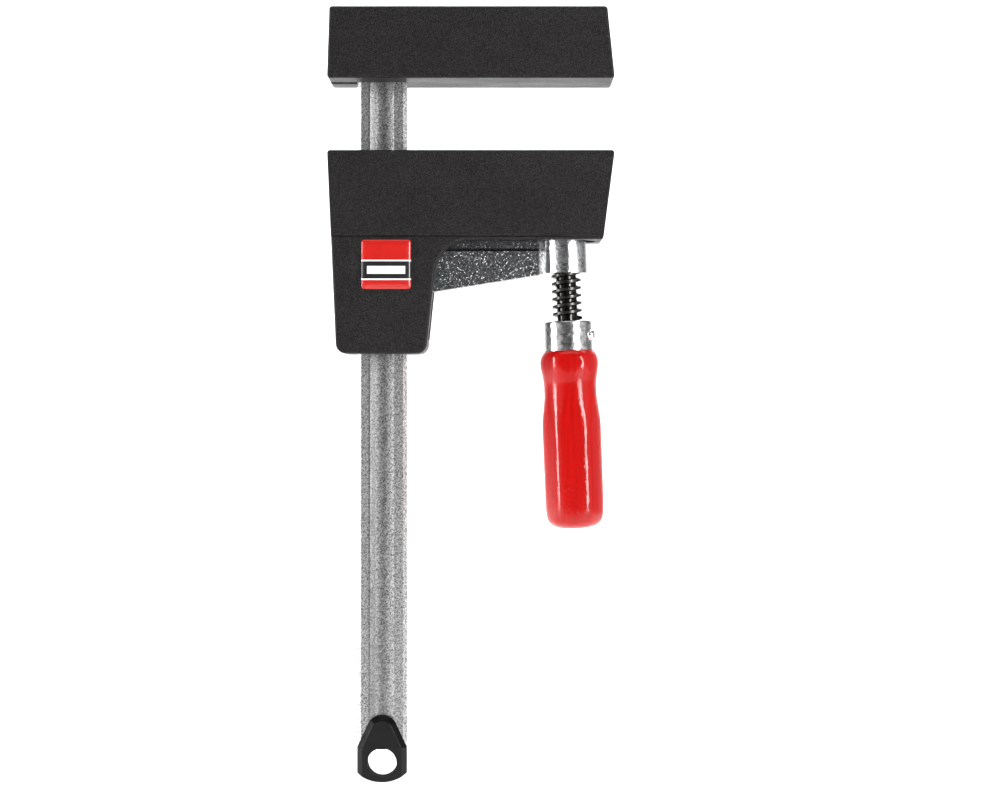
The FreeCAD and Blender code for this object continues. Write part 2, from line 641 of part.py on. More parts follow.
def make_spindle():
    """Spindle: trapezoidal thread, plain shank in the handle, ball end under the jaw."""
    body = new_spindle_body("spindle")
    neck_foot = "thread_foot + thread_length + 1.5"
    ball_foot = "ball_height - sqrt(ball_radius ^ 2 - neck_radius ^ 2)"
    profile = [
        ("0", "shank_foot"), ("shank_radius", "shank_foot"), ("shank_radius", "ferrule_top"),
        ("core_radius", "ferrule_top"), ("core_radius", neck_foot), ("neck_radius", neck_foot),
        ("neck_radius", ball_foot), ("0", "ball_height + ball_radius"),
    ]
    waist = ("ball_radius", "ball_height")
    turned(body, "Core", profile, arcs={6: waist})
    sketch = new_sketch(body, "ThreadSketch", "XZ_Plane")
    buried = "core_radius - 0.3"
    tooth = [
        (buried, "thread_foot - 1.2"), ("thread_radius", "thread_foot - 0.6"),
        ("thread_radius", "thread_foot + 0.35"), (buried, "thread_foot + 1"),
    ]
    draw_outline(sketch, tooth)
    thread = body.newObject("PartDesign::AdditiveHelix", "Thread")
    thread.Profile = sketch
    thread.ReferenceAxis = (sketch, ["V_Axis"])
    thread.Mode = "pitch-height-angle"
    thread.LeftHanded = False
    thread.setExpression("Pitch", bound("thread_pitch"))
    thread.setExpression("Height", bound("thread_length - 1"))
    finish_feature(body, thread, adds=True)
    cut_cross_hole(body, "shank_radius * 4")
    return body


def cross_pin_circle(body, name, radius):
    """A circle across the cross pin's axis, for a body turned about the spindle."""
    sketch = new_sketch(body, name, "XZ_Plane")
    turn = FreeCAD.Rotation(V(0, 1, 0), 90 - value("cross_pin_turn"))
    sketch.AttachmentOffset = FreeCAD.Placement(V(), turn)
    draw_circle(sketch, "0", "cross_pin_height", radius)
    return sketch


def cut_cross_hole(body, reach):
    """The hole for the cross pin."""
    circle = cross_pin_circle(body, "CrossHoleSketch", "cross_pin_radius")
    extrude(body, "CrossHole", circle, reach, adds=False)


def make_ferrule():
    """Steel cup that closes the top of the handle."""
    body = new_spindle_body("ferrule")
    foot = "ferrule_top - ferrule_length"
    inner = "ferrule_radius - ferrule_wall"
    ceiling = "ferrule_top - 2.4"
    bore = "shank_radius + 0.05"
    profile = [
        (bore, ceiling), (bore, "ferrule_top"), ("ferrule_radius", "ferrule_top"),
        ("ferrule_radius", foot), (inner, foot), (inner, ceiling),
    ]
    turned(body, "Cup", profile)
    rim, top = value("ferrule_radius"), value("ferrule_top")
    round_edges(body, "Rim", "1", lambda p: near(math.hypot(p.x, p.y), rim) and near(p.z, top))
    cut_cross_hole(body, "ferrule_radius * 3")
    return body


def make_ferrule_pin():
    """Cross pin: a domed end stands proud of the ferrule, and the other lies inside its hole."""
    body = new_spindle_body("ferrule_pin")
    shaft = body.newObject("PartDesign::Pad", "Shaft")
    shaft.Profile = cross_pin_circle(body, "PinSketch", "cross_pin_radius - 0.02")
    shaft.SideType = "Two sides"
    shaft.setExpression("Length", bound("ferrule_radius + pin_proud"))
    shaft.setExpression("Length2", bound("ferrule_radius - 0.4"))
    finish_feature(body, shaft, adds=True)
    end = value("ferrule_radius + pin_proud")
    turn = math.radians(value("cross_pin_turn"))

    def on_end(p):
        return near(p.x * math.cos(turn) - p.y * math.sin(turn), end)

    round_edges(body, "Dome", "pin_dome", on_end)
    return body


def make_handle():
    """Turned wooden handle with six planed flats and a tenon up inside the ferrule."""
    body = new_spindle_body("handle")
    shoulder = "ferrule_top - ferrule_length"
    tenon = "(ferrule_radius - ferrule_wall - 0.05)"
    bore = "(shank_radius + 0.05)"
    profile = [(bore, "ferrule_top - 2.5"), (tenon, "ferrule_top - 2.5"), (tenon, shoulder)]
    profile += [(str(radius), f"{shoulder} - {depth}") for radius, depth in HANDLE_RADII]
    profile += [("0", "handle_foot"), ("0", "shank_foot - 0.2"), (bore, "shank_foot - 0.2")]
    turned(body, "Turned", profile)
    sketch = new_sketch(body, "FlatsSketch", "XY_Plane", "handle_foot - 1")
    corner = "handle_flats / sqrt(3)"
    hexagon = [(f"{corner} * cos({60 * k}deg)", f"{corner} * sin({60 * k}deg)") for k in range(6)]
    draw_outline(sketch, hexagon)
    draw_circle(sketch, "0", "0", "handle_flats")
    depth = f"{shoulder} - handle_foot + 0.9"
    extrude(body, "Flats", sketch, depth, adds=False, one_way=True, reverse=True)
    cut_cross_hole(body, "ferrule_radius * 3")
    return body


def make_pressure_pad():
    """Steel pad that swivels on the spindle's ball and presses the thrust plate."""
    body = new_body("pressure_pad", "rail_x + pad_x")
    foot = "pad_top - pad_height"
    socket = "(ball_radius + 0.2)"
    centre = "spindle_z + ball_height * cos(spindle_tilt * 1deg)"
    profile = [
        ("0", "pad_top"), ("pad_radius", "pad_top"), ("pad_radius", "pad_top - 2"),
        ("pad_foot_radius", foot), (socket, foot), (socket, centre), ("0", f"{centre} + {socket}"),
    ]
    bulge = (f"{socket} * cos(45deg)", f"{centre} + {socket} * sin(45deg)")
    turned(body, "Pad", profile, arcs={5: bulge})
    rim, top = value("pad_radius"), value("pad_top")
    round_edges(body, "Rim", "0.5", lambda p: near(math.hypot(p.x, p.y), rim) and near(p.z, top))
    return body


def make_pad_clip():
    """Spring ring under the pad that keeps it on the ball."""
    body = new_body("pad_clip", "rail_x + pad_x + 0.08")
    top = "pad_top - pad_height"
    turned(body, "Ring", rectangle("clip_inner", "clip_outer", f"{top} - clip_thickness", top))
    gap = rectangle("0", "clip_outer + 1", f"{top} - clip_thickness * 2", f"{top} + 1")
    slab(body, "Gap", gap, "clip_inner * 0.6", adds=False)
    return body


def main():
    parts = [
        make_rail(), make_fixed_arm(),
        make_pins("fixed_arm_rivets", RIVETS, "rivet_radius", "fixed_arm_width"),
        make_cover(), make_end_cap(), make_housing(), make_thrust_plate(), make_badge(),
        make_sliding_arm(), make_pins("arm_grip_pins", GRIP_PINS, "grip_pin_radius", "root_width"),
        make_brake_spring(), make_spindle(), make_ferrule(), make_ferrule_pin(), make_handle(),
        make_pressure_pad(), make_pad_clip(),
    ]
    doc.recompute()
    for item in doc.Objects:
        if "Invalid" in item.State or "Error" in item.State:
            raise RuntimeError(f"{item.Label} failed: {item.State}")
    os.makedirs("parts", exist_ok=True)
    for part in parts:
        if part.Shape.isNull() or not part.Shape.isValid():
            raise RuntimeError(f"{part.Label} has no valid shape")
        part.Shape.exportStep(f"parts/{part.Label}.step")
        box = part.Shape.BoundBox
        print(
            f"{part.Label}: {part.Shape.Volume:.0f} mm3, {len(part.Shape.Solids)} solid(s), "
            f"X {box.XMin:.1f}..{box.XMax:.1f}, Y {box.YMin:.1f}..{box.YMax:.1f}, "
            f"Z {box.ZMin:.1f}..{box.ZMax:.1f}"
        )


main()
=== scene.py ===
import json
import math

import bmesh
import bpy
from mathutils import Matrix, Vector


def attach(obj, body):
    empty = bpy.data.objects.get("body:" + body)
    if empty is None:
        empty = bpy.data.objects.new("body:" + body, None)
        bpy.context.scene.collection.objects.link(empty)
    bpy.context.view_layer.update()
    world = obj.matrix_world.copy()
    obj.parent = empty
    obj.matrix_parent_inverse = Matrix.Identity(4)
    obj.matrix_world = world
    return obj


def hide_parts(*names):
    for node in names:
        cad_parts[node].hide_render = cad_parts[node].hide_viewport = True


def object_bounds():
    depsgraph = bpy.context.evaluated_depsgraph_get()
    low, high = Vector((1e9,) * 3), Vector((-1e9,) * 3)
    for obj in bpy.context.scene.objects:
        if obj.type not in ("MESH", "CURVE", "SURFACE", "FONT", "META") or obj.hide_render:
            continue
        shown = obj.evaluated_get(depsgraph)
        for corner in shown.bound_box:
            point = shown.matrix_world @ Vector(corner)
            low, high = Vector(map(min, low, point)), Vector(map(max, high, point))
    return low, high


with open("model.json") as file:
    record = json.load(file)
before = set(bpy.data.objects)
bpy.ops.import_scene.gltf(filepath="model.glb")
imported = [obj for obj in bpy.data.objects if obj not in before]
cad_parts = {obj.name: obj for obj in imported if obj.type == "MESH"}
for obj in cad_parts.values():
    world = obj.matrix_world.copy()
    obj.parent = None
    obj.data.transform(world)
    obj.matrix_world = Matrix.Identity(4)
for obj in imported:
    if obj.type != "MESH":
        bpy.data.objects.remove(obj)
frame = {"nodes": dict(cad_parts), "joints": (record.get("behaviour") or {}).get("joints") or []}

CAD_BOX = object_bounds()
MM = 0.001

# ---------------------------------------------------------------- places read from the frame

JOINTS = {joint["name"]: joint for joint in frame["joints"]}
SPINDLE_AXIS = Vector(JOINTS["spindle_turn"]["axis"]).normalized()
SPINDLE_POINT = Vector(JOINTS["spindle_turn"]["pos_m"])
SPINDLE_LEAN = Vector((0, 0, 1)).rotation_difference(SPINDLE_AXIS).to_matrix().to_4x4()
TO_SPINDLE = Matrix.Translation(SPINDLE_POINT) @ SPINDLE_LEAN


def node_box(node):
    """The corners of a CAD node at rest."""
    points = [vertex.co for vertex in frame["nodes"][node].data.vertices]
    return [Vector(end(p[axis] for p in points) for axis in range(3)) for end in (min, max)]


BADGE_BOX = node_box("badge")
BADGE_CENTRE = (BADGE_BOX[0] + BADGE_BOX[1]) / 2
RAIL_CENTRE = (node_box("rail")[0].x + node_box("rail")[1].x) / 2
# the recess between the arm's rib and its flange, and the hole in the end cap
ARM_NECK = -66.05 * MM
HANG_HOLE_CENTRE = (RAIL_CENTRE, 0, -268.1 * MM)
HANG_HOLE_RADIUS = 5.85 * MM


# ---------------------------------------------------------------- materials

class Finish:
    """A procedural material: a principled shader with the few nodes that drive it."""

    def __init__(self, name, roughness, metallic=0.0, coat=0.0, coat_roughness=0.1, specular=0.5):
        self.material = bpy.data.materials.new(name)
        self.material.use_nodes = True
        self.nodes = self.material.node_tree.nodes
        self.links = self.material.node_tree.links
        self.shader = self.nodes["Principled BSDF"]
        self.shader.inputs["Roughness"].default_value = roughness
        self.shader.inputs["Metallic"].default_value = metallic
        self.shader.inputs["Coat Weight"].default_value = coat
        self.shader.inputs["Coat Roughness"].default_value = coat_roughness
        self.shader.inputs["Specular IOR Level"].default_value = specular
        self.place = self.nodes.new("ShaderNodeTexCoord").outputs["Object"]
        self.height = None

    def stretched(self, scale):
        """Object coordinates stretched by a scale for each axis."""
        mapping = self.nodes.new("ShaderNodeMapping")
        mapping.inputs["Scale"].default_value = scale
        self.links.new(self.place, mapping.inputs["Vector"])
        return mapping.outputs["Vector"]

    def noise(self, grain, detail=3.0, rough=0.55, stretch=(1, 1, 1)):
        """Cloudy noise, grain metres across."""
        node = self.nodes.new("ShaderNodeTexNoise")
        node.inputs["Scale"].default_value = 1 / grain
        node.inputs["Detail"].default_value = detail
        node.inputs["Roughness"].default_value = rough
        self.links.new(self.stretched(stretch), node.inputs["Vector"])
        return node.outputs["Fac"]

    def crystals(self, grain):
        """Small flat patches, each with a value of its own, grain metres across."""
        node = self.nodes.new("ShaderNodeTexVoronoi")
        node.inputs["Scale"].default_value = 1 / grain
        self.links.new(self.place, node.inputs["Vector"])
        split = self.nodes.new("ShaderNodeSeparateColor")
        self.links.new(node.outputs["Color"], split.inputs["Color"])
        return split.outputs["Red"]

    def along(self, axis):
        """The object coordinate along an axis."""
        split = self.nodes.new("ShaderNodeSeparateXYZ")
        self.links.new(self.place, split.inputs["Vector"])
        return split.outputs[axis]

    def between(self, axis, centre, half, soft):
        """1 within half of centre along an axis of the object, falling to 0 over soft metres."""
        away = self.maths("ABSOLUTE", self.maths("SUBTRACT", self.along(axis), centre))
        return self.remap(away, half, half + soft, 1, 0)

    def from_axis(self, point, direction):
        """Distance from an axis of the object."""
        offset = self.nodes.new("ShaderNodeVectorMath")
        offset.operation = "SUBTRACT"
        self.links.new(self.place, offset.inputs[0])
        offset.inputs[1].default_value = point
        across = self.nodes.new("ShaderNodeVectorMath")
        across.operation = "CROSS_PRODUCT"
        self.links.new(offset.outputs["Vector"], across.inputs[0])
        across.inputs[1].default_value = direction
        length = self.nodes.new("ShaderNodeVectorMath")
        length.operation = "LENGTH"
        self.links.new(across.outputs["Vector"], length.inputs[0])
        return length.outputs["Value"]

    def maths(self, operation, first, second=None):
        node = self.nodes.new("ShaderNodeMath")
        node.operation = operation
        for socket, number in zip(node.inputs, (first, second)):
            if isinstance(number, (int, float)):
                socket.default_value = number
            elif number is not None:
                self.links.new(number, socket)
        return node.outputs["Value"]

    def remap(self, value, low, high, to_low, to_high):
        node = self.nodes.new("ShaderNodeMapRange")
        for socket, number in zip(("From Min", "From Max", "To Min", "To Max"), (low, high, to_low, to_high)):
            node.inputs[socket].default_value = number
        self.links.new(value, node.inputs["Value"])
        return node.outputs["Result"]

    def blend(self, factor, first, second):
        """A colour between first and second; either is a colour or another node's output."""
        node = self.nodes.new("ShaderNodeMix")
        node.data_type = "RGBA"
        self.links.new(factor, node.inputs["Factor"])
        for socket, colour in ((6, first), (7, second)):
            if isinstance(colour, tuple):
                node.inputs[socket].default_value = (*colour, 1)
            else:
                self.links.new(colour, node.inputs[socket])
        return node.outputs[2]

    def paint(self, colour):
        self.links.new(colour, self.shader.inputs["Base Color"])

    def polish(self, value):
        self.links.new(value, self.shader.inputs["Roughness"])

    def relief(self, value, depth):
        """Raise the surface and its coat by depth metres where value is 1, on top of earlier relief."""
        node = self.nodes.new("ShaderNodeBump")
        node.inputs["Strength"].default_value = 1
        node.inputs["Distance"].default_value = depth
        self.links.new(value, node.inputs["Height"])
        if self.height is not None:
            self.links.new(self.height, node.inputs["Normal"])
        self.height = node.outputs["Normal"]
        self.links.new(self.height, self.shader.inputs["Normal"])
        self.links.new(self.height, self.shader.inputs["Coat Normal"])


def moulded_plastic(name, light, roughness, specular, depth, hole=None):
    """Moulded plastic with a fine grain and faint flow marks, with painted shade, matt black, within a hole if
    one is given.
    """
    finish = Finish(name, roughness, specular=specular)
    grain = finish.noise(0.36 * MM, detail=3, rough=0.7)
    flow = finish.noise(14 * MM, detail=2, stretch=(0.5, 1, 2))
    black = (0.001, 0.001, 0.001)
    colour = finish.blend(finish.remap(grain, 0.46, 0.61, 0, 1), black, light)
    rough = finish.remap(flow, 0.3, 0.7, roughness - 0.05, roughness + 0.07)
    if hole:
        centre, radius = hole
        # painted shade: the hole's bore is painted matt black for the shade that falls in it
        hole_shade = finish.remap(finish.from_axis(centre, (0, 1, 0)), radius, radius + 0.1 * MM, 1, 0)
        colour = finish.blend(hole_shade, colour, black)
        rough = finish.maths("MAXIMUM", rough, hole_shade)
    finish.paint(colour)
    finish.polish(rough)
    finish.relief(grain, depth)
    return finish.material


def plated_rail(name, centre):
    """Speckled zinc plate on rolled steel, with painted shade by place down the groove and on its left wall.
    """
    finish = Finish(name, 0.42, metallic=1.0)
    specks = finish.noise(0.65 * MM, detail=4, rough=0.8)
    clouds = finish.noise(6 * MM, detail=3, stretch=(1, 1, 0.35))
    # painted shade: these two masks darken the groove and its left wall towards the shade grey
    groove = finish.between("X", centre - 1.6 * MM, half=2.6 * MM, soft=1.6 * MM)
    left_wall_shade = finish.between("X", centre - 3.9 * MM, half=0.8 * MM, soft=1.0 * MM)
    grey = finish.blend(finish.remap(specks, 0.40, 0.60, 0, 1), (0.09, 0.09, 0.09), (0.64, 0.64, 0.635))
    grey = finish.blend(finish.remap(clouds, 0.35, 0.7, 0, 0.2), grey, (0.34, 0.34, 0.335))
    shade = (0.07, 0.07, 0.07)
    grey = finish.blend(finish.maths("MULTIPLY", groove, 0.40), grey, shade)
    finish.paint(finish.blend(finish.maths("MULTIPLY", left_wall_shade, 0.55), grey, shade))
    finish.polish(finish.remap(specks, 0.3, 0.7, 0.5, 0.32))
    finish.relief(specks, 0.09 * MM)
    return finish.material


def galvanised_casting(name, boss, neck):
    """Zinc on a casting: sparkling dark skin, a smooth boss whose bright colour is partly painted highlight,
    and painted shade along the neck and over the web above it.
    """
    finish = Finish(name, 0.38, metallic=1.0)
    crystals = finish.crystals(0.38 * MM)
    specks = finish.noise(0.75 * MM, detail=4, rough=0.8)
    lumps = finish.noise(2.6 * MM, detail=3)
    skin = finish.blend(finish.remap(specks, 0.38, 0.62, 0, 1), (0.15, 0.155, 0.16), (0.03, 0.033, 0.036))
    sparkle = finish.remap(crystals, 0.90, 0.93, 0, 1)
    skin = finish.blend(sparkle, skin, (1.0, 1.0, 1.0))
    # painted shade: a near-black line along the recessed neck
    neck_shade = finish.between("Z", neck, half=0.35 * MM, soft=0.45 * MM)
    skin = finish.blend(neck_shade, skin, (0.01, 0.01, 0.011))
    # painted shade: the web above the neck is darkened by half
    above = finish.maths("GREATER_THAN", finish.along("Z"), neck)
    skin = finish.blend(finish.maths("MULTIPLY", above, 0.5), skin, (0.05, 0.052, 0.056))
    # the boss and the fillet beside it are painted bright: partly their smoother plate, partly painted
    # highlight for the lamps they mirror
    bright = finish.blend(finish.remap(specks, 0.40, 0.60, 0, 1), (0.97, 0.98, 0.99), (0.34, 0.35, 0.36))
    boss_plate_and_highlight = finish.between("X", boss, half=9.4 * MM, soft=1.6 * MM)
    finish.paint(finish.blend(boss_plate_and_highlight, skin, bright))
    rough = finish.remap(boss_plate_and_highlight, 0, 1, 0.42, 0.20)
    finish.polish(finish.maths("SUBTRACT", rough, finish.maths("MULTIPLY", sparkle, 0.15)))
    finish.relief(lumps, 0.05 * MM)
    pits = finish.maths("MULTIPLY", specks, finish.remap(boss_plate_and_highlight, 0, 1, 1, 0.55))
    finish.relief(pits, 0.14 * MM)
    return finish.material


def bright_plate(name, wear):
    """Bright zinc over drawn steel, with dull patches, and with rings and grain as strong as its wear."""
    finish = Finish(name, 0.2, metallic=1.0)
    rings = finish.noise(0.9 * MM, detail=3, stretch=(0.15, 0.15, 1))
    patches = finish.noise(1.6 * MM, detail=4)
    grain = finish.noise(0.6 * MM, detail=4, rough=0.8)
    grey = finish.blend(finish.remap(patches, 0.35, 0.65, 0, 1), (0.55, 0.55, 0.55), (0.90, 0.90, 0.90))
    finish.paint(finish.blend(finish.remap(grain, 0.45, 0.65, 0, 0.6 * wear), grey, (0.25, 0.25, 0.25)))
    finish.polish(finish.remap(patches, 0.3, 0.7, 0.14, 0.28))
    finish.relief(rings, 0.012 * MM * wear)
    finish.relief(grain, 0.02 * MM * wear)
    return finish.material


# the rubbed look of the thread comes in between these radii
CREST_RADII = (5.3 * MM, 5.85 * MM)


def black_oxide(name):
    """Oiled black thread whose crests are rubbed to a duller, even grey."""
    finish = Finish(name, 0.2, metallic=1.0)
    stains = finish.noise(1.3 * MM, detail=4)
    from_axis = finish.from_axis(SPINDLE_POINT, SPINDLE_AXIS)
    crest = finish.remap(from_axis, CREST_RADII[0], CREST_RADII[1], 0, 1)
    oxide = finish.blend(finish.remap(stains, 0.35, 0.7, 0, 1), (0.020, 0.019, 0.018), (0.075, 0.072, 0.068))
    finish.paint(finish.blend(crest, oxide, (0.07, 0.068, 0.066)))
    rough = finish.remap(stains, 0.3, 0.7, 0.12, 0.24)
    finish.polish(finish.maths("ADD", rough, finish.maths("MULTIPLY", crest, 0.12)))
    finish.relief(stains, 0.02 * MM)
    return finish.material


def plain_steel(name, colour):
    """Machined steel of the hidden pieces."""
    finish = Finish(name, 0.4, metallic=1.0)
    marks = finish.noise(1.5 * MM, detail=4, stretch=(0.2, 1, 1))
    light = tuple(min(1, c * 1.35) for c in colour)
    finish.paint(finish.blend(finish.remap(marks, 0.3, 0.7, 0, 1), colour, light))
    finish.polish(finish.remap(marks, 0.3, 0.7, 0.34, 0.5))
    return finish.material


def red_lacquer(name):
    """Glossy red lacquer through which the wood's grain just shows."""
    finish = Finish(name, 0.5, coat=0.75, coat_roughness=0.08, specular=0.05)
    finish.shader.inputs["Coat IOR"].default_value = 1.55
    grain = finish.noise(1.2 * MM, detail=4, stretch=(1, 1, 0.06))
    waves = finish.noise(6 * MM, detail=2, stretch=(1, 1, 0.35))
    peel = finish.noise(1.1 * MM, detail=2, rough=0.6, stretch=(1, 1, 0.6))
    red = finish.blend(finish.remap(grain, 0.35, 0.7, 0, 1), (0.47, 0.0025, 0.0012), (0.37, 0.0018, 0.0009))
    finish.paint(red)
    finish.polish(finish.remap(waves, 0.3, 0.7, 0.42, 0.56))
    finish.relief(grain, 0.01 * MM)
    finish.relief(waves, 0.05 * MM)
    finish.relief(peel, 0.10 * MM)
    return finish.material


# the label's middle below the badge's, and half the heights of its three layers
LABEL_DROP = 2.2 * MM
LABEL_WHITE_HALF = 3.9 * MM
LABEL_BLACK_HALF = 3.3 * MM
LABEL_BAR_HALF = 1.5 * MM
LABEL_BAR_HALF_WIDTH = 7.4 * MM
LABEL_SOFTNESS = 0.06 * MM


def badge_resin(name):
    """Clear resin dome over red, with a plain banded label under it."""
    finish = Finish(name, 0.4, coat=1.0, coat_roughness=0.07, specular=0.2)
    cloud = finish.noise(4 * MM, detail=2)
    red = finish.blend(finish.remap(cloud, 0.3, 0.7, 0, 1), (0.52, 0.012, 0.008), (0.47, 0.009, 0.006))
    middle = BADGE_CENTRE.z - LABEL_DROP
    white = (0.85, 0.85, 0.85)
    black = (0.012, 0.012, 0.012)
    face = finish.blend(finish.between("Z", middle, LABEL_WHITE_HALF, LABEL_SOFTNESS), red, white)
    face = finish.blend(finish.between("Z", middle, LABEL_BLACK_HALF, LABEL_SOFTNESS), face, black)
    bar = finish.maths(
        "MULTIPLY", finish.between("Z", middle, LABEL_BAR_HALF, LABEL_SOFTNESS),
        finish.between("X", BADGE_CENTRE.x, LABEL_BAR_HALF_WIDTH, LABEL_SOFTNESS))
    finish.paint(finish.blend(bar, face, white))
    finish.polish(finish.remap(cloud, 0.3, 0.7, 0.35, 0.45))
    return finish.material


JAW_PLASTIC = moulded_plastic(
    "jaw_plastic", (0.035, 0.032, 0.0325), roughness=0.46, specular=0.20, depth=0.06 * MM)
CAP_PLASTIC = moulded_plastic(
    "cap_plastic", (0.002, 0.002, 0.002), roughness=0.17, specular=0.26, depth=0.02 * MM,
    hole=(HANG_HOLE_CENTRE, HANG_HOLE_RADIUS))
RAIL_STEEL = plated_rail("rail_steel", RAIL_CENTRE)
CAST_STEEL = galvanised_casting("cast_steel", SPINDLE_POINT.x, ARM_NECK)
PLATED_STEEL = bright_plate("plated_steel", wear=1)
PIN_STEEL = bright_plate("pin_steel", wear=0.15)
BLACK_STEEL = black_oxide("black_steel")
ARM_STEEL = plain_steel("arm_steel", (0.36, 0.36, 0.37))
SPRING_STEEL = plain_steel("spring_steel", (0.16, 0.17, 0.22))
HANDLE_LACQUER = red_lacquer("handle_lacquer")
BADGE_RESIN = badge_resin("badge_resin")

NODE_FINISH = {
    "rail": RAIL_STEEL,
    "fixed_arm": ARM_STEEL,
    "fixed_arm_rivets": ARM_STEEL,
    "fixed_jaw_cover": JAW_PLASTIC,
    "end_cap": CAP_PLASTIC,
    "sliding_jaw_housing": JAW_PLASTIC,
    "thrust_plate": ARM_STEEL,
    "badge": BADGE_RESIN,
    "brake_spring": SPRING_STEEL,
    "sliding_arm": CAST_STEEL,
    "arm_grip_pins": ARM_STEEL,
    "pressure_pad": ARM_STEEL,
    "pad_clip": SPRING_STEEL,
    "spindle": BLACK_STEEL,
    "ferrule": PLATED_STEEL,
    "ferrule_pin": PIN_STEEL,
    "handle": HANDLE_LACQUER,
}


def dress_cad_nodes():
    for node, material in NODE_FINISH.items():
        for slot in frame["nodes"][node].material_slots:
            slot.material = material


# ---------------------------------------------------------------- mesh helpers

def add_piece(name, mesh, body, material, replaces=()):
    piece = bpy.data.objects.new(name, mesh)
    bpy.context.scene.collection.objects.link(piece)
    mesh.materials.append(material)
    for face in mesh.polygons:
        face.use_smooth = True
    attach(piece, body)
    if replaces:
        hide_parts(*replaces)
    return piece


def mesh_from_rings(name, rings, place=Matrix()):
    """A closed skin over rings of equal length, with a fan over each end."""
    mesh = bpy.data.meshes.new(name)
    grid = bmesh.new()
    rows = [[grid.verts.new(place @ Vector(p)) for p in ring] for ring in rings]
    count = len(rings[0])
    for low, high in zip(rows, rows[1:]):
        for i in range(count):
            k = (i + 1) % count
            grid.faces.new((low[i], low[k], high[k], high[i]))
    for row, turned in ((rows[0], True), (rows[-1], False)):
        centre = grid.verts.new(sum((v.co for v in row), Vector()) / count)
        for i in range(count):
            k = (i + 1) % count
            grid.faces.new((row[k], row[i], centre) if turned else (row[i], row[k], centre))
    grid.normal_update()
    grid.to_mesh(mesh)
    grid.free()
    return mesh


def smooth_between(stations, at):
    """Catmull-Rom value at a place along (place, value) stations, flat beyond both ends."""
    places = [p for p, v in stations]
    if at <= places[0]:
        return stations[0][1]
    if at >= places[-1]:
        return stations[-1][1]
    i = max(k for k, p in enumerate(places) if p <= at)
    p1, v1 = stations[i]
    p2, v2 = stations[i + 1]
    p0, v0 = stations[i - 1] if i else (2 * p1 - p2, v1)
    p3, v3 = stations[i + 2] if i + 2 < len(stations) else (2 * p2 - p1, v2)
    t = (at - p1) / (p2 - p1)
    m1 = (v2 - v0) / (p2 - p0) * (p2 - p1)
    m2 = (v3 - v1) / (p3 - p1) * (p2 - p1)
    return ((2 * t**3 - 3 * t**2 + 1) * v1 + (t**3 - 2 * t**2 + t) * m1
            + (3 * t**2 - 2 * t**3) * v2 + (t**3 - t**2) * m2)


# ---------------------------------------------------------------- handle

# the ferrule's top lies this far down the axis from the spindle's point
FERRULE_TOP = 16.22 * MM
FERRULE_LENGTH = 11.7 * MM
HANDLE_ACROSS_FLATS = 21.8 * MM
HANDLE_SIDES = 6
HANDLE_POINTS_ROUND = 120
# rings this many mm apart, beside those at the outline's own depths
HANDLE_RING_STEP = 0.75
HANDLE_RING_COUNT = 90
# the higher, the crisper the edges where the flats meet the turned shape
HANDLE_SHARPNESS = 24
# radius over the corners, by depth below the ferrule, both in mm
HANDLE_OUTLINE = [
    (0.0, 9.5), (0.5, 9.95), (1.6, 10.75), (3.0, 11.3), (4.6, 11.6), (6.4, 11.5), (8.2, 11.2), (10.4, 10.8),
    (13.0, 10.48), (16.0, 10.42), (18.5, 10.5), (21.5, 10.8), (24.5, 11.2), (27.0, 11.5), (29.5, 11.66),
    (34.0, 11.68), (48.0, 11.64), (58.0, 11.58), (63.0, 11.45), (65.6, 11.1), (67.4, 10.4), (68.8, 9.1),
    (69.7, 7.2), (70.15, 4.6), (70.28, 2.2),
]


def make_handle():
    """Turned handle with six planed flats whose edges are sanded round."""
    top = -(FERRULE_TOP + FERRULE_LENGTH)
    between = {HANDLE_RING_STEP * k for k in range(1, HANDLE_RING_COUNT + 1)}
    depths = sorted({depth for depth, radius in HANDLE_OUTLINE} | between)
    power = -HANDLE_SHARPNESS
    rings = []
    for depth in reversed(depths):
        radius = smooth_between(HANDLE_OUTLINE, depth) * MM
        ring = []
        for k in range(HANDLE_POINTS_ROUND):
            angle = 2 * math.pi * k / HANDLE_POINTS_ROUND
            side = (angle % (2 * math.pi / HANDLE_SIDES)) - math.pi / HANDLE_SIDES
            flat = HANDLE_ACROSS_FLATS / 2 / math.cos(side)
            reach = (radius**power + flat**power) ** (1 / power)
            ring.append((reach * math.cos(angle), reach * math.sin(angle), top - depth * MM))
        rings.append(ring)
    mesh = mesh_from_rings("handle_wood", rings, TO_SPINDLE)
    return add_piece("handle_wood", mesh, "spindle", HANDLE_LACQUER, ["handle"])


# ---------------------------------------------------------------- badge

BADGE_CORNER = 1.1 * MM
# shares: the upright edge of the height, the curve of the half width
BADGE_EDGE = 0.3
BADGE_CURVE = 0.32
BADGE_CURVE_STEPS = 12
BADGE_CORNER_STEPS = 8


def badge_profile():
    """Shares of the half width and of the height: an upright edge, a quarter ellipse and a flat top."""
    profile = [(1.0, 0.0), (1.0, BADGE_EDGE)]
    for k in range(1, BADGE_CURVE_STEPS + 1):
        angle = math.pi / 2 * k / BADGE_CURVE_STEPS
        rise = (1 - BADGE_EDGE) * math.sin(angle)
        profile.append((1 - BADGE_CURVE * (1 - math.cos(angle)), BADGE_EDGE + rise))
    return profile + [(0.4, 1.0), (0.15, 1.0)]


